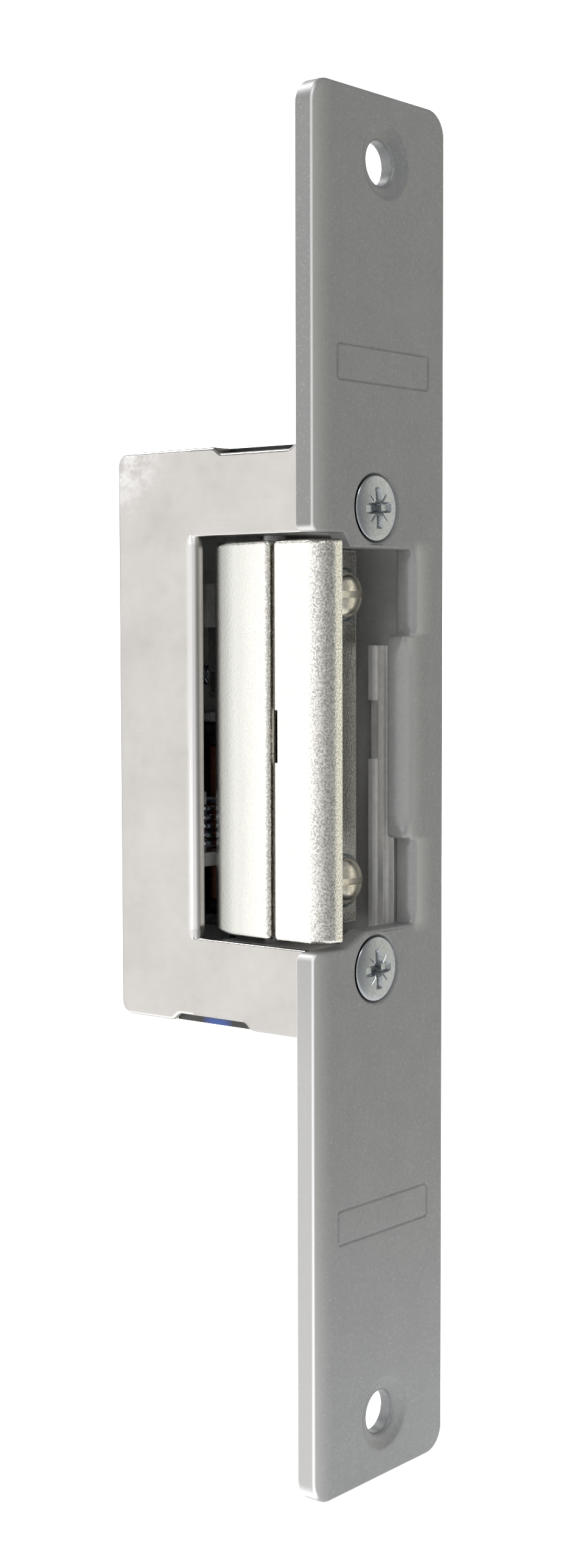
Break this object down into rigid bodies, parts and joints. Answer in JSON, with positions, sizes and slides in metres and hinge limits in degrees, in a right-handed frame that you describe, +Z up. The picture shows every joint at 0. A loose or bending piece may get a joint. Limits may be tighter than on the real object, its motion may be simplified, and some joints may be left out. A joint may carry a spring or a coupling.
{
  "type": "electric door strike",
  "caption": "Long flat faceplate with a steel-covered box behind it, a latch pocket, and a swinging keeper with an adjustable lip that a solenoid's pawl holds.",
  "frame": {"origin": "centre of the faceplate's front face, where the plate's length and width are halved", "axes": "+Z up along the faceplate, +Y from the faceplate's front back into the door frame, -X towards the side that the keeper swings out of"},
  "size_m": [0.025, 0.0319, 0.16],
  "materials": {
    "plate_paint": "fine-grained metallic grey paint",
    "brushed_sheet": "brushed along the depth",
    "nickel": "grainy nickel plating over a casting",
    "diecast": "satin die-cast zinc alloy",
    "zinc": "bluish zinc plating",
    "steel": "plain strip steel",
    "spring_steel": "glossy bluish zinc plating",
    "brass": "turned",
    "copper": "enamelled wire, wound",
    "blue_plastic": "moulded",
    "black_plastic": "moulded",
    "lead_sleeve": "soft sleeve"
  },
  "bodies": {
    "housing": {"faceplate": "plate_paint", "cover": "brushed_sheet", "frame": "diecast", "keeper_pin": "steel", "keeper_spring": "spring_steel", "body_screw_upper": "zinc", "body_screw_lower": "zinc", "cover_screw_upper": "zinc", "cover_screw_lower": "zinc", "pawl_pin": "zinc", "pawl_spring": "spring_steel", "coil_bobbin": "black_plastic", "coil_winding": "copper", "coil_core": "steel", "coil_yoke": "steel", "yoke_screw": "zinc", "armature_spring": "spring_steel", "terminal_block": "blue_plastic", "terminal_screw_left": "brass", "terminal_screw_right": "brass", "terminal_clamp_left": "zinc", "terminal_clamp_right": "zinc", "coil_lead_outer": "lead_sleeve", "coil_lead_inner": "lead_sleeve"},
    "keeper": {"keeper": "nickel", "lip_screw_upper": "nickel", "lip_screw_lower": "nickel", "lip_washer_upper": "zinc", "lip_washer_lower": "zinc"},
    "lip": {"keeper_lip": "nickel"},
    "pawl": {"pawl": "steel"},
    "armature": {"armature": "steel"}
  },
  "joints": [
    {"name": "keeper_swing", "type": "hinge", "parent": "housing", "child": "keeper", "pos_m": [-0.0035, 0.013, 0.007], "axis": [0, 0, -1], "range_deg": [0, 50], "stiffness_Nm_per_rad": 0.02, "springref_deg": -20.05, "deforming": ["keeper_spring"]},
    {"name": "lip_adjust", "type": "slide", "parent": "keeper", "child": "lip", "axis": [-1, 0, 0], "range_m": [-0.0006, 0.0015]},
    {"name": "pawl_swing", "type": "hinge", "parent": "housing", "child": "pawl", "pos_m": [0, 0.0256, 0.0226], "axis": [1, 0, 0], "range_deg": [0, 13], "deforming": ["pawl_spring"]},
    {"name": "armature_tilt", "type": "hinge", "parent": "housing", "child": "armature", "pos_m": [0, 0.0285, 0.0084], "axis": [1, 0, 0], "range_deg": [0, 4], "stiffness_Nm_per_rad": 0.01, "springref_deg": -8.59, "deforming": ["armature_spring"]}
  ],
  "couplings": [
    {"joint": "pawl_swing", "follows": "keeper_swing", "ratio": 0.26}
  ]
}
